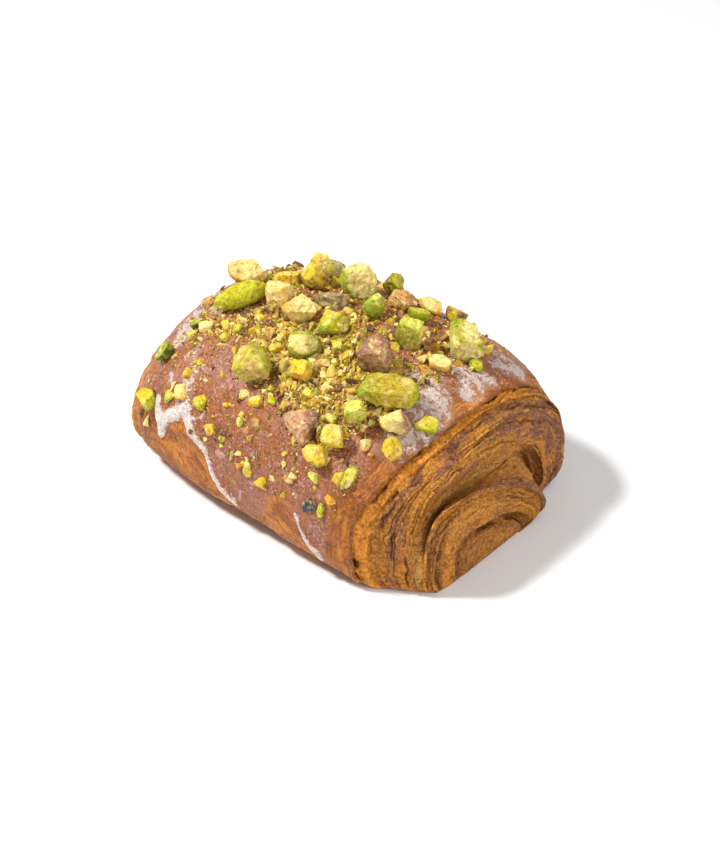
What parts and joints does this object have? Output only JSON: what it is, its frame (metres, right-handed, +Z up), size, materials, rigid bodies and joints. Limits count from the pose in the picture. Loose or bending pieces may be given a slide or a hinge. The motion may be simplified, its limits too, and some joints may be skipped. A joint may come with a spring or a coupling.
{
  "type": "pain au chocolat",
  "caption": "Rolled laminated pastry, an oblong loaf with spiral layered ends, thinly glazed and topped with chopped green nut pieces; it rests on its flat underside as prepared food",
  "frame": {"origin": "on the table, at the middle of the part's bounding box in plan", "axes": "+X along the roll to the end whose layers are open to view, +Y across the roll to its far side, +Z up"},
  "size_m": [0.1139, 0.0857, 0.0605],
  "materials": {
    "baked crust": null,
    "pistachio kernel": null
  },
  "bodies": {
    "root": {"pastry": "baked crust", "pistachio_01": "pistachio kernel", "pistachio_02": "pistachio kernel", "pistachio_03": "pistachio kernel", "pistachio_04": "pistachio kernel", "pistachio_05": "pistachio kernel", "pistachio_06": "pistachio kernel", "pistachio_07": "pistachio kernel", "pistachio_08": "pistachio kernel", "pistachio_09": "pistachio kernel", "pistachio_10": "pistachio kernel", "pistachio_11": "pistachio kernel", "pistachio_12": "pistachio kernel", "pistachio_13": "pistachio kernel", "pistachio_14": "pistachio kernel", "pistachio_15": "pistachio kernel", "pistachio_16": "pistachio kernel", "pistachio_17": "pistachio kernel", "pistachio_18": "pistachio kernel", "pistachio_19": "pistachio kernel", "pistachio_20": "pistachio kernel", "pistachio_21": "pistachio kernel", "pistachio_22": "pistachio kernel", "pistachio_23": "pistachio kernel", "pistachio_24": "pistachio kernel", "pistachio_25": "pistachio kernel", "pistachio_26": "pistachio kernel", "pistachio_27": "pistachio kernel", "pistachio_28": "pistachio kernel", "pistachio_29": "pistachio kernel", "pistachio_30": "pistachio kernel", "pistachio_31": "pistachio kernel", "pistachio_32": "pistachio kernel", "pistachio_33": "pistachio kernel", "pistachio_34": "pistachio kernel"}
  },
  "joints": []
}
